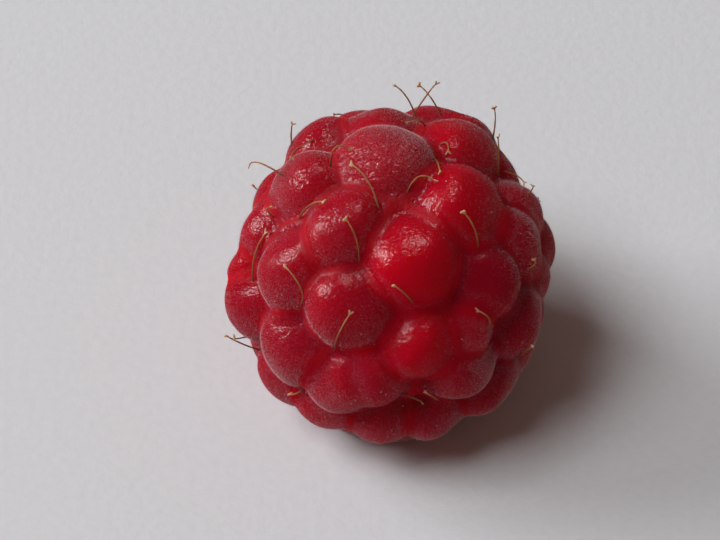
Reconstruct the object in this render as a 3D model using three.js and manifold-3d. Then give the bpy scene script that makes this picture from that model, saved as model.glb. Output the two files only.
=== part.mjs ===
// A ripe raspberry, picked off its core, standing on its open end with the apex up.
// Lengths are in millimetres and angles in degrees, with +Z up. The origin lies on the
// surface that the fruit stands on, under the fruit's middle.
import * as THREE from "three";
import { mergeVertices } from "three/addons/utils/BufferGeometryUtils.js";
import Module from "manifold-3d";

const wasm = await Module();
wasm.setup();

// The fruit.
const fruitRadius = 10; // from the fruit's middle to the tips of its drupelets
const middleHeight = 8.6; // of the fruit's middle above the surface it stands on
const fleshRadius = 8.4; // of the flesh that joins the drupelets behind their creases
const fullness = 1.1; // how far each drupelet swells past its own place into its neighbours
const drupeletDetail = 2;
const fleshDetail = 5;

// The hollow that the core leaves: a straight mouth at the foot, a wall that tapers to the
// shoulder, and a rounded top.
const mouthRadius = 4.4;
const mouthHeight = 2;
const shoulderRadius = 3.2;
const shoulderHeight = 10;
const hollowHeight = 12.8;
const hollowSides = 28;
const topSteps = 5;
const overshoot = 1; // how far the cutter runs out below the foot

// The seat of the drupelets' inner ends, an egg shape about the hollow.
const seatRadius = 4.4;
const seatMiddleHeight = 3;
const seatHalfHeight = 9.6;
const seatShare = 0.8; // an inner end's angle from the apex, as a share of its tip's
const seatLowest = 93.5;

// The dried styles.
const styleRadius = 0.06;
const styleSides = 6;
const styleSteps = 7;
const knobRadius = 0.15;
const rootDepth = 0.12; // how deep a style is set in the skin
const skinClearance = 0.09; // between the skin and the middle of a style that lies on it

// Each drupelet by rows from the apex down: azimuth, angle from the apex, width round the
// fruit, height along it, and how far its tip stands out as a share of the fruit's radius.
const apexRow = [[105, 11, 5.7, 5.6, 1]];
const crownRow = [
  [45, 42, 5.2, 5.6, 1.02],
  [97, 39, 5.6, 4.8, 0.985],
  [130, 49, 4.8, 4.8, 1.03],
  [170, 37, 4.5, 5.3, 1],
  [-133, 30, 4.3, 5.1, 1],
  [-75, 37, 5.3, 5.5, 1],
  [-17, 31, 5.4, 5.9, 1.01],
];
const upperRow = [
  [-111, 56, 5.2, 4.9, 1],
  [-146, 54, 4.5, 5.6, 1],
  [-179, 60, 4.2, 4.4, 0.97],
  [160, 60, 4.2, 4.4, 0.95],
  [101, 61, 5.2, 4.7, 1.02],
  [70, 58, 4.7, 4.8, 1.05],
  [54, 61, 5, 5.2, 1.07],
  [32, 63, 4.4, 4.8, 0.98],
  [9, 60, 4.1, 4.8, 1.01],
  [-12, 58, 4.2, 5.6, 1],
  [-41, 56, 4.7, 5, 1],
  [-56, 68, 3.4, 4, 0.98],
  [-78, 69, 4.7, 4.5, 1],
];
const waistRow = [
  [-98, 81, 4, 4.4, 1],
  [-111, 87, 4.2, 4.6, 1],
  [-132, 81, 4.8, 5.3, 1],
  [-163, 84, 4.4, 5, 1],
  [-174, 76, 3.8, 4.4, 0.965],
  [162, 84, 4.4, 4.6, 0.95],
  [135, 82, 5.2, 5.2, 1],
  [112, 91, 4.5, 4.4, 1],
  [88, 87, 4.7, 4.8, 1.01],
  [63, 88, 4.4, 4.5, 1],
  [38, 85, 4.8, 4.7, 1],
  [9, 80, 4.6, 4.8, 1.01],
  [-11, 78, 4, 4.6, 0.96],
  [-31, 80, 4.6, 5, 1],
  [-61, 84, 4.6, 4.2, 1],
];
const lowerRow = [
  [-73, 107, 4.2, 4.2, 1],
  [-94, 106, 4.4, 4.2, 0.99],
  [-117, 104, 4.7, 4.4, 0.98],
  [-139, 104, 4.4, 4.4, 0.97],
  [-164, 108, 4.4, 4.4, 0.91],
  [168, 108, 4.5, 4.4, 1],
  [140, 107, 4.4, 4.7, 0.99],
  [112, 111, 4.8, 4.2, 1],
  [81, 109, 4.4, 4.4, 1],
  [50, 109, 4.7, 4.5, 0.99],
  [24, 106, 4.6, 4.4, 1],
  [-2, 104, 4.6, 4.4, 0.96],
  [-24, 104, 4.4, 4.4, 0.95],
  [-46, 104, 5, 4.4, 1.01],
];
const footCount = 10;
const footFirstAzimuth = -84;
const footRow = Array.from({ length: footCount }, (_, i) => {
  const azimuth = footFirstAzimuth + (i * 360) / footCount;
  return [azimuth, 130, 4.4, 4.8, 0.95];
});
const drupelets = [...apexRow, ...crownRow, ...upperRow, ...waistRow, ...lowerRow, ...footRow];

// Each dried style: the azimuth and the angle from the apex of its root and of its knob, how
// far the knob stands off the skin, how far the middle bows out, and how far it bows aside.
const styles = [
  [142, 52, 139, 46, 0.9, 0.2, 0.1],
  [172, 40, 162, 54, 1.6, 0.7, -0.1],
  [137, 39, 163, 37, 0.15, 0.1, -0.6],
  [170, 23, 158, 15, 0.5, 0.9, 0],
  [-105, 18, 177, 14, 0.35, 0.3, -0.3],
  [-163, 41, -149, 27, 0.4, 0.3, 0.2],
  [-174, 51, -177, 49, 0.3, 0.4, 0],
  [-161, 76, -168, 55, 0.3, 0.3, 0.1],
  [-132, 65, -140, 51, 0.5, 0.4, -1],
  [-110, 39, -125, 27, 0.3, 0.3, -0.3],
  [-113, 77, -106, 55, 0.7, 0.5, 0.1],
  [-59, 11, -20, 16, 0.3, 0.4, 0.5],
  [33, 20, -7, 17, 0.3, 0.2, 0],
  [45, 27, 33, 26, 0.3, 0.4, 0],
  [68, 37, 77, 31, 0.4, 0.3, 0.2],
  [76, 47, 88, 44, 1.4, 0.3, 0.2],
  [66, 52, 78, 48, 1.9, 0.2, 0],
  [79, 47, 71, 47, 2.4, 0.2, 0.2],
  [44, 60, 47, 52, 1.5, 0.2, 0],
  [22, 52, 25, 39, 1.6, 0, 0.1],
  [26, 55, 13, 54, 0.5, 0.2, 0],
  [8, 56, 12, 57, 0.5, 0.2, 0],
  [-22, 66, -20, 63, 0.4, 0.3, 0],
  [-38, 44, -38, 30, 0.5, 0.3, -0.1],
  [-80, 53, -89, 45, 0.5, 0.3, -0.1],
  [-52, 72, -55, 61, 0.5, 0.3, -0.3],
  [-39, 97, -40, 83, 1.1, 0.2, -0.3],
  [-87, 93, -78, 102, 0.4, 0.3, 0.4],
  [-73, 102, -77, 93, 0.5, 0.4, -0.3],
  [-154, 110, -156, 95, 0.9, 0.1, 0],
  [-158, 103, -155, 96, 0.6, 0.3, 0],
  [-124, 102, -129, 106, 0.2, 0.2, 0],
  [103, 73, 112, 62, 0.3, 0.4, 0.2],
  [62, 77, 72, 66, 0.3, 0.4, 0.3],
  [99, 79, 88, 70, 0.6, 0.3, 0],
  [124, 78, 117, 67, 0.3, 0.4, -0.3],
  [124, 80, 132, 96, 0.6, 0.3, 0.2],
  [44, 81, 38, 72, 0.3, 0.4, 0.3],
  [76, 99, 70, 84, 0.4, 0.5, 0.2],
  [137, 99, 143, 87, 0.5, 0.3, 0],
  [36, 98, 28, 85, 0.9, 0.2, 0],
  [18, 94, 26, 82, 0.4, 0.4, -0.3],
  [160, 106, 154, 95, 0.4, 0.3, 0.3],
  [101, 101, 94, 114, 0.6, 0.3, 0],
];

const middle = new THREE.Vector3(0, 0, middleHeight);

// The unit vector at an azimuth and an angle from the apex.
function direction(azimuth, fromApex) {
  const polar = THREE.MathUtils.degToRad(fromApex);
  const turn = THREE.MathUtils.degToRad(azimuth);
  return new THREE.Vector3(
    Math.sin(polar) * Math.cos(turn),
    Math.sin(polar) * Math.sin(turn),
    Math.cos(polar),
  );
}

// Where a drupelet's inner end sits about the hollow.
function seatPoint(azimuth, fromApex) {
  const lower = Math.min(seatShare * fromApex, seatLowest);
  const point = direction(azimuth, lower).multiply(
    new THREE.Vector3(seatRadius, seatRadius, seatHalfHeight),
  );
  point.z += seatMiddleHeight;
  return point;
}

// The matrix that makes a unit ball into a drupelet: an egg that runs from its seat to its tip.
function drupeletMatrix([azimuth, fromApex, width, height, reach]) {
  const tip = direction(azimuth, fromApex).multiplyScalar(fruitRadius * reach).add(middle);
  const seat = seatPoint(azimuth, fromApex);
  const along = tip.clone().sub(seat);
  const halfLength = along.length() / 2;
  along.normalize();
  const around = direction(azimuth + 90, 90);
  const up = new THREE.Vector3().crossVectors(along, around);
  return new THREE.Matrix4()
    .makeBasis(
      around.multiplyScalar((width * fullness) / 2),
      up.multiplyScalar((height * fullness) / 2),
      along.multiplyScalar(halfLength),
    )
    .setPosition(tip.add(seat).multiplyScalar(0.5));
}

const drupeletMatrices = drupelets.map(drupeletMatrix);
const drupeletInverses = drupeletMatrices.map((matrix) => matrix.clone().invert());

// How far the skin is from the fruit's middle along a unit vector: the furthest way out of
// any drupelet, or the flesh between them.
function skinRadius(outward) {
  let furthest = fleshRadius;
  for (const inverse of drupeletInverses) {
    const start = middle.clone().applyMatrix4(inverse);
    const step = middle.clone().add(outward).applyMatrix4(inverse).sub(start);
    const a = step.lengthSq();
    const b = step.dot(start);
    const root = b * b - a * (start.lengthSq() - 1);
    if (root > 0) furthest = Math.max(furthest, (Math.sqrt(root) - b) / a);
  }
  return furthest;
}

// A closed geometry as a solid that can be joined and cut.
function toSolid(geometry) {
  const bare = geometry.clone();
  bare.deleteAttribute("normal");
  bare.deleteAttribute("uv");
  const merged = mergeVertices(bare, 1e-4);
  return new wasm.Manifold(
    new wasm.Mesh({
      numProp: 3,
      vertProperties: merged.attributes.position.array,
      triVerts: new Uint32Array(merged.index.array),
    }),
  );
}

function toMesh(solid, name, material) {
  const { vertProperties, triVerts } = solid.getMesh();
  const geometry = new THREE.BufferGeometry();
  geometry.setAttribute("position", new THREE.BufferAttribute(vertProperties, 3));
  geometry.setIndex(new THREE.BufferAttribute(triVerts, 1));
  geometry.computeVertexNormals();
  const mesh = new THREE.Mesh(geometry, material);
  mesh.name = name;
  return mesh;
}

// The space inside, as a body of revolution about the Z axis.
function hollowSolid() {
  const profile = [
    new THREE.Vector2(0, -overshoot),
    new THREE.Vector2(mouthRadius, -overshoot),
    new THREE.Vector2(mouthRadius, mouthHeight),
  ];
  for (let i = 0; i <= topSteps; i++) {
    const angle = (i * Math.PI) / 2 / topSteps;
    const height = shoulderHeight + (hollowHeight - shoulderHeight) * Math.sin(angle);
    profile.push(new THREE.Vector2(shoulderRadius * Math.cos(angle), height));
  }
  return toSolid(new THREE.LatheGeometry(profile, hollowSides).rotateX(Math.PI / 2));
}

// The whole fruit: the flesh and every drupelet joined, cut level where it stands, and hollow.
function fruitSolid() {
  const flesh = new THREE.IcosahedronGeometry(fleshRadius, fleshDetail);
  let fruit = toSolid(flesh.translate(0, 0, middleHeight));
  for (const matrix of drupeletMatrices) {
    const ball = new THREE.IcosahedronGeometry(1, drupeletDetail).applyMatrix4(matrix);
    fruit = fruit.add(toSolid(ball));
  }
  const span = 4 * fruitRadius;
  const ground = new THREE.BoxGeometry(span, span, span).translate(0, 0, -span / 2);
  return fruit.subtract(toSolid(ground)).subtract(hollowSolid());
}

// The curve of a style, from its root in the skin to its knob, kept clear of the drupelets.
function styleCurve([rootAzimuth, rootAngle, knobAzimuth, knobAngle, standOff, bow, aside]) {
  const rootWay = direction(rootAzimuth, rootAngle);
  const knobWay = direction(knobAzimuth, knobAngle);
  const root = rootWay.clone().multiplyScalar(skinRadius(rootWay) - rootDepth).add(middle);
  const knob = knobWay.clone().multiplyScalar(skinRadius(knobWay) + standOff).add(middle);
  const run = knob.clone().sub(root);
  const outward = rootWay.clone().add(knobWay).normalize();
  const across = new THREE.Vector3().crossVectors(outward, run).normalize();
  const bend = root.clone().addScaledVector(run, 0.5);
  bend.addScaledVector(outward, 2 * bow).addScaledVector(across, 2 * aside);
  const smooth = new THREE.QuadraticBezierCurve3(root, bend, knob);
  const points = smooth.getPoints(styleSteps).map((point, i) => {
    const fromMiddle = point.clone().sub(middle);
    const least = skinRadius(fromMiddle.clone().normalize()) + skinClearance;
    if (i === 0 || fromMiddle.length() > least) return point;
    return fromMiddle.setLength(least).add(middle);
  });
  return new THREE.CatmullRomCurve3(points);
}

function styleSolid(style) {
  const curve = styleCurve(style);
  const section = new THREE.Shape();
  section.absarc(0, 0, styleRadius, 0, 2 * Math.PI);
  const stalk = new THREE.ExtrudeGeometry(section, {
    extrudePath: curve,
    steps: styleSteps,
    curveSegments: styleSides / 2,
  });
  const end = curve.getPoint(1);
  const knob = new THREE.IcosahedronGeometry(knobRadius, 0).translate(end.x, end.y, end.z);
  return toSolid(stalk).add(toSolid(knob));
}

const skin = new THREE.MeshStandardMaterial({ color: 0x9c1220, roughness: 0.45, metalness: 0 });
const straw = new THREE.MeshStandardMaterial({ color: 0x96713a, roughness: 0.7, metalness: 0 });

const raspberry = new THREE.Group();
raspberry.add(toMesh(fruitSolid(), "fruit", skin));
styles.forEach((style, i) => {
  const name = "style_" + String(i + 1).padStart(2, "0");
  raspberry.add(toMesh(styleSolid(style), name, straw));
});

export default raspberry;
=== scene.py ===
import math

import bpy
import numpy as np
from mathutils import Matrix, Vector
from mathutils.bvhtree import BVHTree


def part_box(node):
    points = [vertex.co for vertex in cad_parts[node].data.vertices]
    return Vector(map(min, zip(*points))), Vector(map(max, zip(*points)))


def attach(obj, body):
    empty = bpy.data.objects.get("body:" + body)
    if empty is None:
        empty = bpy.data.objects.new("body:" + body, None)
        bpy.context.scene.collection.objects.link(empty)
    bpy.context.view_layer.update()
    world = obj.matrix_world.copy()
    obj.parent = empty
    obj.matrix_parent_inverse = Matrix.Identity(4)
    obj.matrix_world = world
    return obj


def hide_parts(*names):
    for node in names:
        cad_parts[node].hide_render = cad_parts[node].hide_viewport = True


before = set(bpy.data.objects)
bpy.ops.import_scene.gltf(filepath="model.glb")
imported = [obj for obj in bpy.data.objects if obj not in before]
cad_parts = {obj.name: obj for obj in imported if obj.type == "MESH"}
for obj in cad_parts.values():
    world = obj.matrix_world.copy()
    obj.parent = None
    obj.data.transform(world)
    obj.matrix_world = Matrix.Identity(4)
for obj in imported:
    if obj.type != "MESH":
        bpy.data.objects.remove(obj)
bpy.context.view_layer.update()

# A ripe raspberry, standing on its open end. The layout is in millimetres of the modelled
# berry, and mm turns it into metres from the height of the frame's own fruit.
fruitLow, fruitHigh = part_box("fruit")
berry = {
    "height": 18.47,
    "radius": 10,  # from the middle to the drupelets' tips
    "middle": 8.6,  # height of the middle above the foot
    "fullness": 1.09,  # how far each drupelet swells into its neighbours
}
mm = (fruitHigh.z - fruitLow.z) / berry["height"]
middle = Vector((0, 0, berry["middle"] * mm))


def deselectAll():
    if bpy.context.mode != "OBJECT":
        bpy.ops.object.mode_set(mode="OBJECT")
    bpy.ops.object.select_all(action="DESELECT")


def makeActive(thing):
    deselectAll()
    thing.select_set(True)
    bpy.context.view_layer.objects.active = thing


def applyPlace():
    bpy.ops.object.transform_apply(location=True, rotation=True, scale=True)


def applyModifier(thing, kind, name, **settings):
    makeActive(thing)
    modifier = thing.modifiers.new(name, kind)
    for key, value in settings.items():
        setattr(modifier, key, value)
    bpy.ops.object.modifier_apply(modifier=modifier.name)


def copyOf(thing, name):
    twin = thing.copy()
    twin.data = thing.data.copy()
    twin.name = name
    bpy.context.scene.collection.objects.link(twin)
    return twin


def joined(things, name):
    deselectAll()
    for thing in things:
        thing.select_set(True)
    bpy.context.view_layer.objects.active = things[0]
    bpy.ops.object.join()
    things[0].name = name
    return things[0]


def finishPiece(piece, material):
    piece.data.materials.clear()
    piece.data.materials.append(material)
    makeActive(piece)
    bpy.ops.object.shade_smooth()


# Both in degrees: the angle round the fruit, and the angle from its apex.
def direction(azimuth, fromApex):
    polar = math.radians(fromApex)
    turn = math.radians(azimuth)
    return Vector((
        math.sin(polar) * math.cos(turn),
        math.sin(polar) * math.sin(turn),
        math.cos(polar),
    ))


cameraSetup = {
    "elevation": 50,  # degrees
    "distance": 150,  # mm
    "lens": 125,
    "aside": -1.8,  # mm from the fruit's axis to where the camera looks
    "nearest": 0.005,  # m
}


def addCamera():
    lift = math.radians(cameraSetup["elevation"])
    back = Vector((0, -math.cos(lift), math.sin(lift)))
    aim = middle + Vector((cameraSetup["aside"] * mm, 0, 0))
    bpy.ops.object.camera_add(
        location=aim + back * cameraSetup["distance"] * mm,
        rotation=(math.pi / 2 - lift, 0, 0),
    )
    camera = bpy.context.object
    camera.data.lens = cameraSetup["lens"]
    camera.data.clip_start = cameraSetup["nearest"]
    bpy.context.scene.camera = camera


addCamera()
print("camera placed")

# Rows of drupelets from the apex down: azimuth, angle from the apex, width round the fruit,
# height along it, and how far the tip stands out as a share of the fruit's radius.
apexRow = [(105, 11, 5.7, 5.6, 1)]
crownRow = [
    (45, 42, 5.2, 5.6, 1.02), (97, 39, 5.6, 4.8, 0.985), (130, 49, 4.8, 4.8, 1.03),
    (170, 37, 4.5, 5.3, 1), (-133, 30, 4.3, 5.1, 1), (-75, 37, 5.3, 5.5, 1),
    (-17, 31, 5.4, 5.9, 1.01),
]
upperRow = [
    (-111, 56, 5.2, 4.9, 1), (-146, 54, 4.5, 5.6, 1), (-179, 60, 4.2, 4.4, 0.97),
    (160, 60, 4.2, 4.4, 0.95), (101, 61, 5.2, 4.7, 1.02), (70, 58, 4.7, 4.8, 1.05),
    (54, 61, 5, 5.2, 1.07), (32, 63, 4.4, 4.8, 0.98), (9, 60, 4.1, 4.8, 1.01),
    (-12, 58, 4.2, 5.6, 1), (-41, 56, 4.7, 5, 1), (-56, 68, 3.4, 4, 0.98),
    (-78, 69, 4.7, 4.5, 1),
]
waistRow = [
    (-98, 81, 4.4, 4.5, 1), (-111, 87, 4.5, 4.7, 1), (-132, 81, 4.8, 5.3, 1),
    (-163, 84, 4.4, 5, 1), (-174, 76, 3.8, 4.4, 0.965), (162, 84, 4.4, 4.6, 0.95),
    (135, 82, 5.2, 5.2, 1), (112, 91, 4.5, 4.4, 1), (88, 87, 4.7, 4.8, 1.01),
    (63, 88, 4.4, 4.5, 1), (38, 85, 4.8, 4.7, 1), (9, 80, 4.6, 4.8, 1.01),
    (-11, 78, 4, 4.6, 0.96), (-31, 80, 4.6, 5, 1), (-61, 84, 4.6, 4.2, 1),
]
lowerRow = [
    (-73, 107, 4.2, 4.2, 1), (-94, 106, 4.4, 4.2, 0.99), (-117, 104, 4.7, 4.4, 0.98),
    (-139, 104, 4.4, 4.4, 0.97), (-164, 108, 4.4, 4.4, 0.91), (168, 108, 4.5, 4.4, 1),
    (140, 107, 4.4, 4.7, 0.99), (112, 111, 4.8, 4.2, 1), (81, 109, 4.4, 4.4, 1),
    (50, 109, 4.7, 4.5, 0.99), (24, 106, 4.6, 4.4, 1), (-2, 104, 4.6, 4.4, 0.96),
    (-24, 104, 4.4, 4.4, 0.95), (-46, 104, 5, 4.4, 1.01),
]
footRow = [(-84 + 36 * i, 130, 4.4, 4.8, 0.95) for i in range(10)]  # evenly round the foot
drupeletPlaces = apexRow + crownRow + upperRow + waistRow + lowerRow + footRow

# The drupelets' inner ends sit on an egg shape about the hollow.
seat = {"radius": 4.4, "middle": 3, "halfHeight": 9.6, "share": 0.8, "lowest": 93.5}


def drupeletMatrix(place):
    azimuth, fromApex, width, height, reach = place
    tip = direction(azimuth, fromApex) * berry["radius"] * reach * mm + middle
    seatWay = direction(azimuth, min(seat["share"] * fromApex, seat["lowest"]))
    inner = Vector((
        seatWay.x * seat["radius"],
        seatWay.y * seat["radius"],
        seatWay.z * seat["halfHeight"] + seat["middle"],
    )) * mm
    along = tip - inner
    halfLength = along.length / 2
    along.normalize()
    around = direction(azimuth + 90, 90)
    up = along.cross(around)
    turned = Matrix((around, up, along)).transposed().to_4x4()
    halfSizes = (
        width * berry["fullness"] / 2 * mm,
        height * berry["fullness"] / 2 * mm,
        halfLength,
    )
    return Matrix.Translation((tip + inner) / 2) @ turned @ Matrix.Diagonal((*halfSizes, 1))


drupeletMatrices = [drupeletMatrix(place) for place in drupeletPlaces]


# An operator may leave faces in another order on each run, and what follows would then differ
# a little, so they are put in one fixed order.
def sortFaces(thing):
    places = [vertex.co.copy() for vertex in thing.data.vertices]
    faces = sorted(tuple(polygon.vertices) for polygon in thing.data.polygons)
    thing.data.clear_geometry()
    thing.data.from_pydata(places, [], faces)


# A closed body turned about the upright axis, from rings of radius and height in turn. The
# middle of each end is drawn out by tip.
def turnedBody(name, segments, rings, tip=0):
    radius, height = rings[0]
    bpy.ops.mesh.primitive_circle_add(
        vertices=segments, radius=radius, fill_type="NGON", location=(0, 0, height),
    )
    body = bpy.context.object
    body.name = name
    applyPlace()
    bpy.ops.object.mode_set(mode="EDIT")
    bpy.ops.mesh.select_mode(type="FACE")
    bpy.ops.mesh.select_all(action="SELECT")
    for (radius, height), (nextRadius, nextHeight) in zip(rings, rings[1:]):
        factor = nextRadius / radius
        move = (0, 0, nextHeight - height)
        bpy.ops.mesh.extrude_region_move(TRANSFORM_OT_translate={"value": move})
        bpy.ops.transform.resize(value=(factor, factor, 1), center_override=(0, 0, nextHeight))
    bpy.ops.mesh.select_all(action="SELECT")
    bpy.ops.mesh.normals_make_consistent(inside=False)
    if tip:
        bpy.ops.mesh.select_all(action="DESELECT")
        bpy.ops.mesh.select_face_by_sides(number=4, type="GREATER")
        bpy.ops.mesh.poke(offset=tip)
    bpy.ops.object.mode_set(mode="OBJECT")
    sortFaces(body)
    return body


# Lengths are shares of the drupelet's half size.
drupeletShape = {
    "segments": 32,
    "rings": 20,
    "squareness": 2.4,  # 2 is a ball, more is steeper and flatter
    "footBelow": -0.55,
    "footNarrower": 0.9,
}


# One drupelet of unit size, tip up, with steep sides, a flat top and a narrower inner end.
def modelDrupelet():
    power = drupeletShape["squareness"]
    rings = []
    for ring in range(1, drupeletShape["rings"]):
        angle = math.pi * ring / drupeletShape["rings"]
        level, spread = -math.cos(angle), math.sin(angle)
        factor = (abs(level) ** power + spread ** power) ** (-1 / power)
        low = level * factor < drupeletShape["footBelow"]
        narrower = drupeletShape["footNarrower"] if low else 1
        rings.append((spread * factor * narrower, level * factor))
    drupelet = turnedBody("drupelet", drupeletShape["segments"], rings, 1 - rings[-1][1])
    applyModifier(drupelet, "SUBSURF", "Rounded", levels=1, render_levels=1)
    return drupelet


flesh = {
    "radius": 8.6,
    "mouth": 4.31,  # the hollow's radius at the foot
    "shoulder": 3.5,  # and where its round end begins
    "shoulderHeight": 10,
    "top": 12.9,
    "segments": 64,
    "domeRings": 12,
    "ballRings": 28,
}


# The flesh behind the drupelets, hollow where the core was: from the top of the hollow down
# its wall, and up the outside.
def modelFlesh():
    rings = []
    for ring in range(1, flesh["domeRings"] + 1):
        angle = math.pi / 2 * ring / flesh["domeRings"]
        higher = (flesh["top"] - flesh["shoulderHeight"]) * math.cos(angle)
        rings.append((flesh["shoulder"] * math.sin(angle), flesh["shoulderHeight"] + higher))
    start = math.asin(flesh["mouth"] / flesh["radius"])
    for ring in range(flesh["ballRings"]):
        angle = start + (math.pi - start) * ring / flesh["ballRings"]
        height = berry["middle"] - flesh["radius"] * math.cos(angle)
        rings.append((flesh["radius"] * math.sin(angle), height))
    rings = [(radius * mm, height * mm) for radius, height in rings]
    return turnedBody("flesh", flesh["segments"], rings)


skinShape = {
    "voxel": 0.13,
    "creaseRound": 0.22,  # radius that fills the creases
    "smoothing": 4,
    "swell": (3.4, 0.22),  # size of the slow unevenness, and how far it moves the skin
    "dents": (1.1, 0.07),
    "cutTolerance": 1e-7,  # m
    "faces": 190000,
}


def cloudTexture(name, size):
    texture = bpy.data.textures.new(name, "CLOUDS")
    texture.noise_scale = size * mm
    texture.noise_depth = 1
    texture.noise_basis = "BLENDER_ORIGINAL"
    return texture


def remesh(thing, voxel):
    applyModifier(thing, "REMESH", "Skin", mode="VOXEL", voxel_size=voxel * mm)


def smooth(thing, times):
    applyModifier(thing, "SMOOTH", "Even", factor=0.5, iterations=times)


def pushOut(thing, distance):
    applyModifier(thing, "DISPLACE", "Push", strength=distance * mm, mid_level=0)


def roughen(thing, name, texture, distance):
    applyModifier(
        thing, "DISPLACE", name, texture=texture, texture_coords="LOCAL",
        strength=distance * mm, mid_level=0.5,
    )


def thinOut(thing, faces):
    present = sum(len(polygon.vertices) - 2 for polygon in thing.data.polygons)
    applyModifier(thing, "DECIMATE", "Fewer", ratio=min(1, faces / present))


# The flesh and sixty drupelets grown into one skin, and cut level at the foot.
def modelFruit():
    drupelet = modelDrupelet()
    copies = []
    for index, matrix in enumerate(drupeletMatrices):
        twin = copyOf(drupelet, "drupelet%02d" % index)
        twin.data.transform(matrix)
        copies.append(twin)
    bpy.data.objects.remove(drupelet)
    fruit = joined([modelFlesh()] + copies, "fruit_skin")
    remesh(fruit, skinShape["voxel"])
    pushOut(fruit, skinShape["creaseRound"])
    remesh(fruit, skinShape["voxel"])
    pushOut(fruit, -skinShape["creaseRound"])
    smooth(fruit, skinShape["smoothing"])
    for name in ("swell", "dents"):
        size, distance = skinShape[name]
        roughen(fruit, name, cloudTexture(name, size), distance)
    makeActive(fruit)
    bpy.ops.object.mode_set(mode="EDIT")
    bpy.ops.mesh.select_all(action="SELECT")
    bpy.ops.mesh.bisect(
        plane_co=(0, 0, 0), plane_no=(0, 0, 1), use_fill=True, clear_inner=True,
        threshold=skinShape["cutTolerance"],
    )
    bpy.ops.object.mode_set(mode="OBJECT")
    thinOut(fruit, skinShape["faces"])
    return fruit


fruit = modelFruit()
print("fruit modelled:", len(fruit.data.polygons), "faces")


def pointsOf(thing):
    flat = np.empty(len(thing.data.vertices) * 3)
    thing.data.vertices.foreach_get("co", flat)
    return flat.reshape(-1, 3)


# From 0 at one value to 1 at another, and level beyond both.
def rise(values, ends):
    start, end = ends
    return np.clip((values - start) / (end - start), 0, 1)


# Which drupelet each point belongs to and which is next to it, how far it lies outside the
# first and how much further outside the second, in millimetres, and how far it lies round the
# fruit and towards its apex, from -1 to 1.
def nearestDrupelets(points):
    far = np.full(len(points), math.inf)
    nearest = np.full(len(points), math.inf)
    owner = np.zeros(len(points), dtype=int)
    neighbour = np.zeros(len(points), dtype=int)
    onward = np.zeros(len(points))
    apexward = np.zeros(len(points))
    power = drupeletShape["squareness"]
    for index, matrix in enumerate(drupeletMatrices):
        inverse = np.array(matrix.inverted())
        local = points @ inverse[:3, :3].T + inverse[:3, 3]
        size = drupeletPlaces[index][2] * berry["fullness"] / 2
        across = np.hypot(local[:, 0], local[:, 1])
        length = (across ** power + np.abs(local[:, 2]) ** power) ** (1 / power)
        reach = (length - 1) * size
        closer = reach < nearest
        neighbour = np.where(closer, owner, np.where(reach < far, index, neighbour))
        far = np.where(closer, nearest, np.minimum(far, reach))
        nearest = np.where(closer, reach, nearest)
        owner = np.where(closer, index, owner)
        onward = np.where(closer, local[:, 0], onward)
        apexward = np.where(closer, local[:, 1], apexward)
    return owner, neighbour, nearest, far - nearest, onward, apexward


# Drupelets press on each other as they grow, so each has a few flatter sides, met by soft
# ridges. The first ones are listed: the drupelet's number, which way the side faces, and
# how far out it lies as a share of the half size. The others are set by chance.
facets = {
    "own": [
        (7, 170, 32, 0.86), (1, 195, 35, 0.9), (20, 210, 38, 0.93), (23, 212, 40, 0.85),
    ],
    "each": 2,
    "tilt": (0.35, 1.1),
    "limit": (0.88, 0.97),
    "pull": 0.6,
    "soft": 0.32,  # mm
    "fade": (0, 0.5),  # mm in from the crease
    "smoothing": 3,
    "seed": 3,
}


def flattenSides(thing):
    chance = np.random.default_rng(facets["seed"])
    points = pointsOf(thing)
    owner, _, _, gap, _, _ = nearestDrupelets(points)
    sides = [(index, direction(turn, polar), limit) for index, turn, polar, limit in facets["own"]]
    for index, matrix in enumerate(drupeletMatrices):
        around, up, along = (matrix.col[k].to_3d().normalized() for k in range(3))
        for _ in range(facets["each"]):
            angle = chance.uniform(0, 2 * math.pi)
            tilt = chance.uniform(*facets["tilt"])
            way = along + tilt * (math.cos(angle) * around + math.sin(angle) * up)
            sides.append((index, way.normalized(), chance.uniform(*facets["limit"])))
    soft = facets["soft"] * mm
    for index, way, limit in sides:
        matrix = drupeletMatrices[index]
        mine = owner == index
        normal = np.array(way)
        height = limit * (matrix.to_3x3().transposed() @ way).length
        over = (points[mine] - np.array(matrix.translation)) @ normal - height
        pulled = facets["pull"] * soft * np.logaddexp(0, over / soft)
        points[mine] -= (pulled * rise(gap[mine], facets["fade"]))[:, None] * normal
    thing.data.vertices.foreach_set("co", points.ravel())
    thing.data.update()


flattenSides(fruit)
smooth(fruit, facets["smoothing"])

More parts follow.
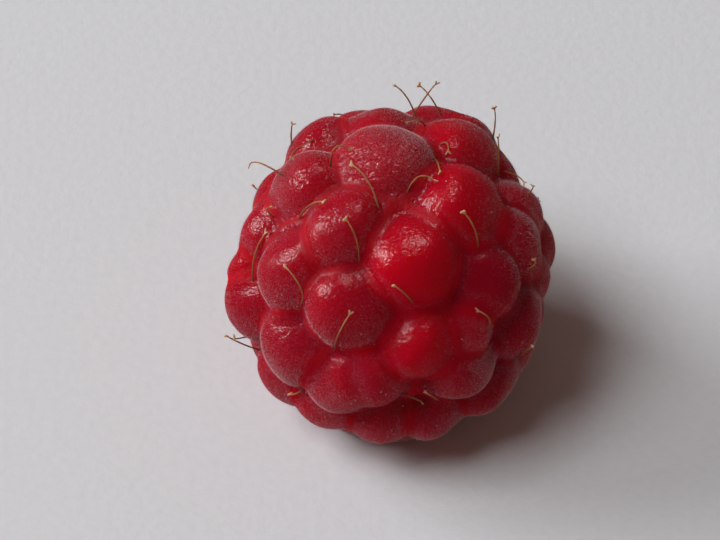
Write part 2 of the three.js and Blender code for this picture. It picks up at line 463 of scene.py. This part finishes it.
# What differs over the skin. Lengths are in millimetres, and two of them are where something
# starts and where it is full.
skinMarks = {
    "seed": 7,
    # By chance, and then for single drupelets by number: tone from dark to light, wrinkles
    # where one has begun to dry, and how thick the down and the bloom are, the bloom partly painted
    # sheen.
    "tone": (0.08, 0.3),
    "toneOf": {
        0: 0.35, 1: 0.5, 4: 0.2, 6: 0.68, 7: 0.6, 18: 0.05, 20: 0.55, 34: 0, 35: 0.05, 36: 0, 49: 0,
    },
    "wrinkled": {0: 1, 4: 0.4, 5: 0.25},
    "furAndSheen": {
        0: 1.6, 1: 0.5, 3: 1.4, 4: 1.9, 6: 0.05, 7: 0.2, 8: 0.7, 15: 1.5, 16: 1.7, 17: 1.9,
        18: 0.4, 19: 0.8, 20: 0.15, 21: 0.45, 22: 1.3, 23: 1.4, 32: 1.9, 33: 2.1, 34: 2.3,
        35: 2.1, 47: 1.8, 48: 2.1, 49: 2.2,
    },
    "merged": (21, 22),  # two that have grown into one, with hardly a crease between them
    "mergedGlow": 0.4,
    "mergedGap": 0.4,
    # The painted glow of a crease, a brighter red standing in for light that shines through the
    # flesh: strength, width on the side towards the foot, how much wider it is on the side towards
    # the apex, and how far a point stands out of every drupelet at full glow.
    "glow": (1.1, 0.4, 0.5, 0.5),
    "glowHeights": (2.5, 7.5),
    "glowAside": (7.8, 1.8),  # it fades towards the side away from the window
    "leastGlow": (0.1, 0.2),  # what is left low down, and on the far side
    "hollow": (-0.48, -0.88),  # how deep inside the drupelets the hollow's wall is
    "wrinkleEdge": (0, 0.8),  # in from a crease
    "downEdge": (0.15, 0.4),
    "downProud": (0.26, 0.06),  # no down grows where a crease is filled this far
    "downHeights": (0.2, 0.6),
    "leastDown": 0.35,
    "bloomAndSheenEdge": (0.08, 0.48),
    # A line of painted sheen round each dome, pale colour where the down would catch the light
    # edge-on: how far in from the crease, how wide, how strong.
    "sheenRim": (0.62, 0.18, 1.15),
    # The share of bloom and painted sheen at a dome's middle, and how much less of it lies towards
    # the apex.
    "lowSide": (0.55, 0.75),
    "apexShare": 0.8,  # all over the drupelet at the apex
    "turned": (16, 17, 18, 32, 33, 34, 35, 47, 48, 49),  # with bloom and painted sheen on one flank
    # The bloom and painted sheen's share at a dome's middle, more towards the flank, less towards
    # the apex, and the most.
    "flank": (0.2, 1.4, 0.2, 1.4),
}


def withOwn(values, own):
    for index, value in own.items():
        values[index] = value
    return values


# What is known at every point of the skin: how much painted glow it has near a crease, with the
# hollow's wall marked the same way, the tone of its drupelet, whether that one is wrinkled, how
# thick the down grows, and how much bloom and painted sheen there is.
def markSkin(thing):
    marks = skinMarks
    points = pointsOf(thing)
    aside = points[:, 0] / mm
    height = points[:, 2] / mm
    owner, neighbour, nearest, gap, onward, apexward = nearestDrupelets(points)
    number = len(drupeletMatrices)
    tones = np.random.default_rng(marks["seed"]).uniform(*marks["tone"], number)
    tones = withOwn(tones, marks["toneOf"])
    dried = withOwn(np.zeros(number), marks["wrinkled"])
    furAndSheen = withOwn(np.ones(number), marks["furAndSheen"])

    # Bloom, partly painted sheen: more towards the foot, and on one flank of the turned drupelets.
    half, lessUp = marks["lowSide"]
    bloomAndSheenShare = np.where(owner == 0, marks["apexShare"], np.clip(half - lessUp * apexward, 0, 1))
    share, moreOn, lessUp, most = marks["flank"]
    flank = np.clip(share + moreOn * onward - lessUp * apexward, 0, most)
    bloomAndSheenShare = np.where(np.isin(owner, marks["turned"]), flank, bloomAndSheenShare)
    # A painted sheen line round each dome.
    rimIn, rimWide, rimStrong = marks["sheenRim"]
    sheenRim = rimStrong * np.exp(-(((gap - rimIn) / rimWide) ** 2))

    merged = np.isin(owner, marks["merged"]) & np.isin(neighbour, marks["merged"])
    strength, width, wider, proud = marks["glow"]
    glow = strength * np.exp(-np.maximum(gap, 0) / (width + wider * np.clip(apexward, 0, 1)))
    glow = np.where(merged, marks["mergedGlow"] * glow, glow)
    gap = np.where(merged, gap + marks["mergedGap"], gap)
    # Painted light: the crease glow is full high up and on the window's side, and fades lower down
    # and away from it.
    low, beside = marks["leastGlow"]
    lit = np.maximum(rise(height, marks["glowHeights"]), low)
    lit *= np.maximum(rise(aside, marks["glowAside"]), beside)
    inside = rise(nearest, marks["hollow"])
    crease = np.clip(np.maximum(np.maximum(glow, nearest / proud), inside), 0, 1)
    leastDown = marks["leastDown"]
    downy = rise(gap, marks["downEdge"]) * rise(nearest, marks["downProud"]) * (1 - inside)
    downy *= rise(height, marks["downHeights"]) * furAndSheen[owner]
    values = {
        "crease": crease * np.maximum(lit, inside),
        "tone": tones[owner],
        "wrinkled": dried[owner] * rise(gap, marks["wrinkleEdge"]),
        "down": downy * (leastDown + (1 - leastDown) * bloomAndSheenShare),
        "bloom": (furAndSheen[owner] * rise(gap, marks["bloomAndSheenEdge"]) * bloomAndSheenShare + sheenRim) * (1 - inside),
    }
    for name, value in values.items():
        mark = thing.data.attributes.new(name, "FLOAT", "POINT")
        mark.data.foreach_set("value", value.astype(np.float32))
    return list(values)


markNames = markSkin(fruit)


# Gives each input of a node a value, or a link where the value is another node's output.
def setInputs(tree, node, values):
    for name, value in values.items():
        if isinstance(value, bpy.types.NodeSocket):
            tree.links.new(value, node.inputs[name])
        else:
            node.inputs[name].default_value = value


def addNode(tree, kind, values, **settings):
    node = tree.nodes.new(kind)
    for key, value in settings.items():
        setattr(node, key, value)
    setInputs(tree, node, values)
    return node


def newMaterial(name):
    material = bpy.data.materials.new(name)
    material.use_nodes = True
    tree = material.node_tree
    place = addNode(tree, "ShaderNodeTexCoord", {}).outputs["Object"]
    return material, tree, tree.nodes["Principled BSDF"], place


def attribute(tree, name):
    return addNode(tree, "ShaderNodeAttribute", {}, attribute_name=name).outputs["Fac"]


def noise(tree, place, size, detail=2):
    values = {"Vector": place, "Scale": 1 / (size * mm), "Detail": detail}
    return addNode(tree, "ShaderNodeTexNoise", values).outputs["Fac"]


def product(tree, first, second):
    return addNode(tree, "ShaderNodeMath", {0: first, 1: second}, operation="MULTIPLY").outputs[0]


def ranged(tree, level, levels, results):
    return addNode(tree, "ShaderNodeMapRange", {
        "Value": level, "From Min": levels[0], "From Max": levels[1],
        "To Min": results[0], "To Max": results[1],
    }).outputs["Result"]


def mixed(tree, factor, first, second, blend="MIX"):
    values = {"Factor": factor, "A": first, "B": second}
    node = addNode(tree, "ShaderNodeMix", values, data_type="RGBA", blend_type=blend)
    return node.outputs["Result"]


def bumped(tree, level, strength, height, before=None):
    values = {"Height": level, "Strength": strength, "Distance": height * mm}
    if before:
        values["Normal"] = before
    return addNode(tree, "ShaderNodeBump", values).outputs["Normal"]


skinLook = {
    "shader": {
        "Subsurface Weight": 1,
        "Subsurface Radius": (1.0, 0.03, 0.05),  # how far red, green and blue light travels
        "Specular IOR Level": 0.2,
        "Sheen Weight": 0.04,
        "Sheen Roughness": 0.4,
        "Sheen Tint": (1, 0.76, 0.9, 1),
    },
    "depth": 4,  # mm
    "roughness": (0.19, 0.85),  # on the domes and in the creases
    "mattFrom": (0.6, 1),
    "grain": (0.17, 0.095),  # size and height of the finest roughness
    "pebble": (0.5, 0.12),
    "wrinkle": (0.8, 1.1),
    "fold": 0.12,  # the smaller, the more folds in a wrinkle
    "bump": 0.5,
    "darkDome": (0.28, 0.0004, 0.013, 1),
    "lightDome": (0.6, 0.0006, 0.014, 1),
    # The colour of the painted glow in the creases, and of the hollow's wall.
    "crease": (0.47, 0.0002, 0.010, 1),
    "patches": 1.8,
    "glowPatches": ((0.35, 0.6), (0.45, 1)),
    # The pale colour of the bloom, which also stands in for painted sheen.
    "bloomAndSheenColour": (0.45, 0.15, 0.21, 1),
    "bloomAndSheenPatches": ((0.3, 0.65), (0.25, 1)),
    "stipple": (0.14, 3),  # size and detail
    "bloomAndSheenStipple": ((0.4, 0.7), (0, 0.27)),
}


def skinMaterial():
    material, tree, shader, place = newMaterial("raspberry_skin")
    shader.subsurface_method = "RANDOM_WALK"
    normal = None
    for name in ("grain", "pebble", "wrinkle"):
        size, height = skinLook[name]
        level = noise(tree, place, size)
        if name == "wrinkle":
            values = {0: level, 1: skinLook["fold"]}
            folds = addNode(tree, "ShaderNodeMath", values, operation="PINGPONG")
            level = product(tree, folds.outputs[0], attribute(tree, "wrinkled"))
        normal = bumped(tree, level, skinLook["bump"], height, normal)
    tone = attribute(tree, "tone")
    dome = mixed(tree, tone, skinLook["darkDome"], skinLook["lightDome"])
    patches = noise(tree, place, skinLook["patches"])
    # Bloom with painted sheen: a pale colour laid over the domes where the down would catch the
    # light.
    stipple = ranged(tree, noise(tree, place, *skinLook["stipple"]), *skinLook["bloomAndSheenStipple"])
    bloom = product(tree, stipple, ranged(tree, patches, *skinLook["bloomAndSheenPatches"]))
    bloom = product(tree, bloom, attribute(tree, "bloom"))
    withBloomAndSheen = mixed(tree, bloom, dome, skinLook["bloomAndSheenColour"])
    # Painted glow: the creases turn a brighter red where light would shine through the flesh.
    creaseGlowMask = attribute(tree, "crease")
    paintedGlow = product(tree, creaseGlowMask, ranged(tree, patches, *skinLook["glowPatches"]))
    setInputs(tree, shader, {
        **skinLook["shader"],
        "Subsurface Scale": skinLook["depth"] * mm,
        "Base Color": mixed(tree, paintedGlow, withBloomAndSheen, skinLook["crease"]),
        "Roughness": ranged(tree, creaseGlowMask, skinLook["mattFrom"], skinLook["roughness"]),
        "Normal": normal,
    })
    return material


finishPiece(fruit, skinMaterial())
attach(fruit, "root")
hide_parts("fruit")
print("skin finished")


# Two tints in soft patches.
def tintedMaterial(name, look):
    material, tree, shader, place = newMaterial(name)
    setInputs(tree, shader, {
        "Base Color": mixed(tree, noise(tree, place, look["patches"]), *look["tints"]),
        "Roughness": look["roughness"],
    })
    return material


# Stands copies of a thing on the skin, thicker where the down grows thicker, each as high as
# chance says, leaning by chance and turned by chance.
def scatterNodes(thing, seed, density, heights, lean):
    tree = bpy.data.node_groups.new("scatter", "GeometryNodeTree")
    tree.interface.new_socket("Geometry", in_out="INPUT", socket_type="NodeSocketGeometry")
    tree.interface.new_socket("Geometry", in_out="OUTPUT", socket_type="NodeSocketGeometry")
    source = addNode(tree, "NodeGroupInput", {})
    share = addNode(tree, "GeometryNodeInputNamedAttribute", {"Name": "down"}, data_type="FLOAT")
    points = addNode(tree, "GeometryNodeDistributePointsOnFaces", {
        "Mesh": source.outputs[0],
        "Density": product(tree, share.outputs["Attribute"], density),
        "Seed": seed,
    })
    height = addNode(tree, "FunctionNodeRandomValue", {
        "Min": (1, 1, heights[0]), "Max": (1, 1, heights[1]), "Seed": seed + 1,
    }, data_type="FLOAT_VECTOR")
    most = math.radians(lean)
    tilt = addNode(tree, "FunctionNodeRandomValue", {
        "Min": (-most, -most, -math.pi), "Max": (most, most, math.pi), "Seed": seed + 2,
    }, data_type="FLOAT_VECTOR")
    single = addNode(tree, "GeometryNodeObjectInfo", {"Object": thing})
    placed = addNode(tree, "GeometryNodeInstanceOnPoints", {
        "Points": points.outputs["Points"],
        "Instance": single.outputs["Geometry"],
        "Rotation": points.outputs["Rotation"],
        "Scale": height.outputs["Value"],
    })
    turned = addNode(tree, "GeometryNodeRotateInstances", {
        "Instances": placed.outputs["Instances"],
        "Rotation": tilt.outputs["Value"],
    })
    real = addNode(tree, "GeometryNodeRealizeInstances", {"Geometry": turned.outputs["Instances"]})
    addNode(tree, "NodeGroupOutput", {0: real.outputs["Geometry"]})
    return tree


def scatterOnSkin(thing, name, material, count, seed, heights, lean):
    area = sum(polygon.area for polygon in fruit.data.polygons)
    piece = copyOf(fruit, name)
    tree = scatterNodes(thing, seed, count / area, heights, lean)
    applyModifier(piece, "NODES", "Scatter", node_group=tree)
    piece.data.materials.clear()
    piece.data.materials.append(material)
    for mark in list(piece.data.attributes):
        if mark.name in markNames:
            piece.data.attributes.remove(mark)
    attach(piece, "root")
    bpy.data.node_groups.remove(tree)
    print(name, len(piece.data.polygons), "faces")


down = {
    "count": 78000,  # in each piece
    "pieces": 4,
    "length": (0.05, 0.11),  # mm
    "halfWidth": 0.0034,
    "lean": 15,  # degrees
    "seed": 11,
    "seedStep": 10,
    "patches": 1.5,
    "tints": ((0.72, 0.46, 0.52, 1), (0.88, 0.66, 0.68, 1)),
    "roughness": 0.6,
}


# One hair: a three-sided spike of unit height on the origin.
def modelHair():
    bpy.ops.mesh.primitive_cone_add(
        vertices=3, radius1=down["halfWidth"] * mm, radius2=0, depth=1, location=(0, 0, 0.5),
        end_fill_type="NGON",
    )
    hair = bpy.context.object
    applyPlace()
    return hair


def growDown():
    hair = modelHair()
    material = tintedMaterial("raspberry_down", down)
    heights = [length * mm for length in down["length"]]
    for part in range(down["pieces"]):
        scatterOnSkin(
            hair, "fruit_down_%d" % (part + 1), material, down["count"],
            down["seed"] + down["seedStep"] * part, heights, down["lean"],
        )
    bpy.data.objects.remove(hair)


growDown()

specks = {
    "count": 420,
    "radius": 0.04,
    "heights": (0.3, 0.9),  # shares of the radius
    "lean": 60,
    "seed": 61,
    "patches": 0.8,
    "tints": ((0.55, 0.2, 0.2, 1), (0.9, 0.66, 0.6, 1)),
    "roughness": 0.45,
}


# Grains of dust and pollen that lie on the skin.
def strewSpecks():
    bpy.ops.mesh.primitive_ico_sphere_add(subdivisions=2, radius=specks["radius"] * mm)
    grain = bpy.context.object
    scatterOnSkin(
        grain, "fruit_specks", tintedMaterial("pale_specks", specks), specks["count"],
        specks["seed"], specks["heights"], specks["lean"],
    )
    bpy.data.objects.remove(grain)


strewSpecks()

# Dried styles: azimuth and angle from the apex of the root and of the knob, how far the knob
# stands off the skin, how far the middle bows out, and how far it bows aside.
stylePlaces = [
    (142, 52, 139, 46, 0.9, 0.2, 0.1), (172, 40, 162, 54, 1.6, 0.7, -0.1),
    (137, 39, 163, 37, 0.15, 0.1, -0.6), (170, 23, 158, 15, 0.5, 0.9, 0),
    (-105, 18, 177, 14, 0.35, 0.3, -0.3), (-163, 41, -149, 27, 0.4, 0.3, 0.2),
    (-174, 51, -177, 49, 0.3, 0.4, 0), (-161, 76, -168, 55, 0.3, 0.3, 0.1),
    (-132, 65, -140, 51, 0.5, 0.4, -1), (-110, 39, -125, 27, 0.3, 0.3, -0.3),
    (-113, 77, -106, 55, 0.7, 0.5, 0.1), (-59, 11, -20, 16, 0.3, 0.4, 0.5),
    (33, 20, -7, 17, 0.3, 0.2, 0), (45, 27, 33, 26, 0.3, 0.4, 0),
    (68, 37, 77, 31, 0.4, 0.3, 0.2), (76, 47, 88, 44, 1.4, 0.3, 0.2),
    (66, 52, 78, 48, 1.9, 0.2, 0), (79, 47, 71, 47, 2.4, 0.2, 0.2),
    (44, 60, 47, 52, 1.5, 0.2, 0), (22, 52, 25, 39, 1.6, 0, 0.1), (26, 55, 13, 54, 0.5, 0.2, 0),
    (8, 56, 12, 57, 0.5, 0.2, 0), (-22, 66, -20, 63, 0.4, 0.3, 0),
    (-38, 44, -38, 30, 0.5, 0.3, -0.1), (-80, 53, -89, 45, 0.5, 0.3, -0.1),
    (-52, 72, -55, 61, 0.5, 0.3, -0.3), (-39, 97, -40, 83, 1.1, 0.2, -0.3),
    (-87, 93, -78, 102, 0.4, 0.3, 0.4), (-73, 102, -77, 93, 0.5, 0.4, -0.3),
    (-154, 110, -156, 95, 0.9, 0.1, 0), (-158, 103, -155, 96, 0.6, 0.3, 0),
    (-124, 102, -129, 106, 0.2, 0.2, 0), (103, 73, 112, 62, 0.3, 0.4, 0.2),
    (62, 77, 72, 66, 0.3, 0.4, 0.3), (99, 79, 88, 70, 0.6, 0.3, 0),
    (124, 78, 117, 67, 0.3, 0.4, -0.3), (124, 80, 132, 96, 0.6, 0.3, 0.2),
    (44, 81, 38, 72, 0.3, 0.4, 0.3), (76, 99, 70, 84, 0.4, 0.5, 0.2),
    (137, 99, 143, 87, 0.5, 0.3, 0), (36, 98, 28, 85, 0.9, 0.2, 0),
    (18, 94, 26, 82, 0.4, 0.4, -0.3), (160, 106, 154, 95, 0.4, 0.3, 0.3),
    (101, 101, 94, 114, 0.6, 0.3, 0),
]

styleShape = {
    "radius": (0.06, 0.04),  # mm, at the root and below the knob
    "sides": 8,
    "steps": 16,
    "knob": 0.12,
    # The lumps of each kind of knob, above the stalk's end: place in mm, and scale. A button,
    # a bean that lies across the stalk, and a fork.
    "knobs": [
        [((0, 0, 0.02), (0.8, 0.7, 0.6)), ((0.05, 0.04, 0.08), (0.6, 0.7, 0.5))],
        [
            ((-0.09, 0, 0.02), (0.8, 0.6, 0.6)), ((0.09, 0.02, 0.05), (0.9, 0.65, 0.6)),
            ((0, 0, 0), (0.7, 0.5, 0.5)),
        ],
        [
            ((0.07, 0, 0.06), (0.45, 0.4, 0.7)), ((0.14, 0, 0.16), (0.5, 0.42, 0.6)),
            ((-0.06, 0, 0.05), (0.42, 0.4, 0.6)), ((-0.11, 0, 0.12), (0.45, 0.42, 0.5)),
        ],
    ],
    "voxel": 0.03,
    "smoothing": 2,
    "faces": 900,
    "rootDepth": 0.12,
    "clearance": 0.08,  # between the skin and the middle of a style that lies on it
    "castFrom": 25,  # how far from the middle the search for the skin starts
    "curvePoints": 24,
    "curveSmoothing": 3,
    "wrinkles": (0.22, 0.035),  # size and height
    "seed": 5,
}


# A straight style 1 mm long with its root at z = 0 and its knob above z = 1.
def modelStyle(kind):
    low, high = styleShape["radius"]
    steps = styleShape["steps"]
    rings = []
    for step in range(steps + 1):
        radius = low * (high / low) ** (step / steps)
        rings.append((radius * mm, step / steps * mm))
    style = turnedBody("style_kind_%d" % kind, styleShape["sides"], rings)
    balls = []
    for place, scale in styleShape["knobs"][kind]:
        bpy.ops.mesh.primitive_ico_sphere_add(
            subdivisions=2, radius=styleShape["knob"] * mm,
            location=Vector((place[0], place[1], 1 + place[2])) * mm, scale=scale,
        )
        applyPlace()
        balls.append(bpy.context.object)
    style = joined([style] + balls, style.name)
    remesh(style, styleShape["voxel"])
    smooth(style, styleShape["smoothing"])
    thinOut(style, styleShape["faces"])
    return style


skinTree = BVHTree.FromObject(fruit, bpy.context.evaluated_depsgraph_get())


def skinRadius(way):
    outside = middle + way * styleShape["castFrom"] * mm
    hit = skinTree.ray_cast(outside, -way)[0]
    return (hit - middle).length


def styleCurve(place):
    rootAzimuth, rootAngle, knobAzimuth, knobAngle, standOff, bow, aside = place
    rootWay = direction(rootAzimuth, rootAngle)
    knobWay = direction(knobAzimuth, knobAngle)
    root = middle + rootWay * (skinRadius(rootWay) - styleShape["rootDepth"] * mm)
    knob = middle + knobWay * (skinRadius(knobWay) + standOff * mm)
    run = knob - root
    outward = (rootWay + knobWay).normalized()
    across = outward.cross(run).normalized()
    bend = root + run / 2 + outward * 2 * bow * mm + across * 2 * aside * mm
    points = []
    for step in range(styleShape["curvePoints"] + 1):
        t = step / styleShape["curvePoints"]
        point = root * (1 - t) ** 2 + bend * 2 * t * (1 - t) + knob * t ** 2
        way = (point - middle).normalized()
        least = skinRadius(way) + styleShape["clearance"] * mm
        if step > 1 and (point - middle).length < least:
            point = middle + way * least
        points.append(point)
    for _ in range(styleShape["curveSmoothing"]):
        inner = [(a + 2 * b + c) / 4 for a, b, c in zip(points, points[1:], points[2:])]
        points = [points[0]] + inner + [points[-1]]
    return points


# The straight style bent along a curve, its section kept square to the curve.
def bendStyle(style, points, turn):
    tangents = [(b - a).normalized() for a, b in zip(points, points[1:])]
    tangents.append(tangents[-1])
    side = tangents[0].orthogonal().normalized()
    sides = []
    for tangent in tangents:
        side = (side - tangent * side.dot(tangent)).normalized()
        sides.append(side)
    last = len(points) - 1
    along = style.data.attributes.new("along", "FLOAT", "POINT")
    for vertex in style.data.vertices:
        height = vertex.co.z / mm
        onStalk = min(max(height, 0), 1)
        index = min(int(onStalk * last), last - 1)
        share = onStalk * last - index
        centre = points[index].lerp(points[index + 1], share)
        tangent = tangents[index].lerp(tangents[index + 1], share).normalized()
        side = sides[index].lerp(sides[index + 1], share)
        side = (side - tangent * side.dot(tangent)).normalized()
        other = tangent.cross(side)
        x = vertex.co.x * math.cos(turn) - vertex.co.y * math.sin(turn)
        y = vertex.co.x * math.sin(turn) + vertex.co.y * math.cos(turn)
        beyond = (height - onStalk) * mm
        along.data[vertex.index].value = max(height, 0)
        vertex.co = centre + side * x + other * y + tangent * beyond


styleLook = {
    # Colours from the root, at 0, to the knob, at 1.
    "colours": [
        (0.02, (0.20, 0.06, 0.03, 1)), (0.25, (0.38, 0.13, 0.05, 1)),
        (0.8, (0.53, 0.24, 0.08, 1)), (0.92, (0.60, 0.31, 0.13, 1)),
        (1, (0.76, 0.49, 0.27, 1)),
    ],
    "patches": 0.35,
    "darker": (0.66, 0.5, 0.36, 1),
    "roughness": 0.55,
    "specular": 0.35,
}


def styleMaterial():
    material, tree, shader, place = newMaterial("dried_style")
    ramp = addNode(tree, "ShaderNodeValToRGB", {"Fac": attribute(tree, "along")})
    elements = ramp.color_ramp.elements
    first, *between, last = styleLook["colours"]
    for element, (position, colour) in zip(elements, (first, last)):
        element.position = position
        element.color = colour
    for position, colour in between:
        elements.new(position).color = colour
    patches = noise(tree, place, styleLook["patches"])
    setInputs(tree, shader, {
        "Base Color": mixed(tree, patches, ramp.outputs["Color"], styleLook["darker"], "MULTIPLY"),
        "Roughness": styleLook["roughness"],
        "Specular IOR Level": styleLook["specular"],
    })
    return material


def growStyles():
    kinds = [modelStyle(kind) for kind in range(len(styleShape["knobs"]))]
    material = styleMaterial()
    chance = np.random.default_rng(styleShape["seed"])
    size, height = styleShape["wrinkles"]
    texture = cloudTexture("wrinkles", size)
    for number, place in enumerate(stylePlaces, 1):
        kind = kinds[int(chance.integers(len(kinds)))]
        style = copyOf(kind, "dried_style_%02d" % number)
        bendStyle(style, styleCurve(place), chance.uniform(0, 2 * math.pi))
        roughen(style, "Wrinkles", texture, height)
        finishPiece(style, material)
        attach(style, "root")
        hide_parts("style_%02d" % number)
    for kind in kinds:
        bpy.data.objects.remove(kind)


growStyles()
print("styles grown:", len(stylePlaces))

paperLook = {
    "size": 2000,
    "fibres": (0.6, 5),  # size and detail
    "tints": ((0.745, 0.75, 0.772, 1), (0.805, 0.81, 0.832, 1)),
    "roughness": 0.9,
    "specular": 0.2,
    "bump": (0.35, 0.1),  # strength and height
}


def paperMaterial():
    material, tree, shader, place = newMaterial("pale_paper")
    fibres = noise(tree, place, *paperLook["fibres"])
    setInputs(tree, shader, {
        "Base Color": mixed(tree, fibres, *paperLook["tints"]),
        "Roughness": paperLook["roughness"],
        "Specular IOR Level": paperLook["specular"],
        "Normal": bumped(tree, fibres, *paperLook["bump"]),
    })
    return material


def layPaper():
    bpy.ops.mesh.primitive_plane_add(size=paperLook["size"] * mm)
    paper = bpy.context.object
    paper.name = "paper"
    paper.data.materials.append(paperMaterial())
    paper.visible_glossy = False  # down keeps the skin from mirroring what it stands on


layPaper()

# A low window on the left, a little behind, and a smaller, higher one beside it. Sizes and
# distances are in metres.
windows = [
    {"azimuth": 162, "elevation": 30, "size": (0.62, 0.5), "distance": 1.1, "watts": 7.5,
     "tint": (0.955, 0.985, 1)},
    {"azimuth": 197, "elevation": 60, "size": (0.50, 0.46), "distance": 1.1, "watts": 5.5,
     "tint": (0.955, 0.985, 1)},
]

# What the skin's gloss shows: the bright middle of the window, and a smaller pane high up.
panes = [
    {"azimuth": 168, "elevation": 32, "size": (0.25, 0.62), "distance": 1.1, "watts": 12.5,
     "tint": (1, 0.98, 1)},
    {"azimuth": 88, "elevation": 66, "size": (0.24, 0.24), "distance": 1.1, "watts": 4,
     "tint": (1, 0.98, 1)},
]

room = {"tint": (1, 0.68, 0.55, 1), "strength": 0.103}


def addWindow(window, name):
    out = direction(window["azimuth"], 90 - window["elevation"])
    across = direction(window["azimuth"] + 90, 90)
    along = out.cross(across)
    bpy.ops.object.light_add(type="AREA")
    lamp = bpy.context.object
    lamp.name = name
    turned = Matrix((across, along, out)).transposed().to_4x4()
    lamp.matrix_world = Matrix.Translation(middle + out * window["distance"]) @ turned
    lamp.data.shape = "RECTANGLE"
    lamp.data.size, lamp.data.size_y = window["size"]
    lamp.data.energy = window["watts"]
    lamp.data.color = window["tint"]
    return lamp


def lightRoom():
    for number, window in enumerate(windows, 1):
        addWindow(window, "window_%d" % number).visible_glossy = False
    for number, pane in enumerate(panes, 1):
        addWindow(pane, "pane_%d" % number).visible_diffuse = False
    world = bpy.data.worlds.new("room")
    world.use_nodes = True
    setInputs(world.node_tree, world.node_tree.nodes["Background"], {
        "Color": room["tint"],
        "Strength": room["strength"],
    })
    bpy.context.scene.world = world
    bpy.context.scene.view_settings.view_transform = "Standard"


lightRoom()
print("paper and light set")
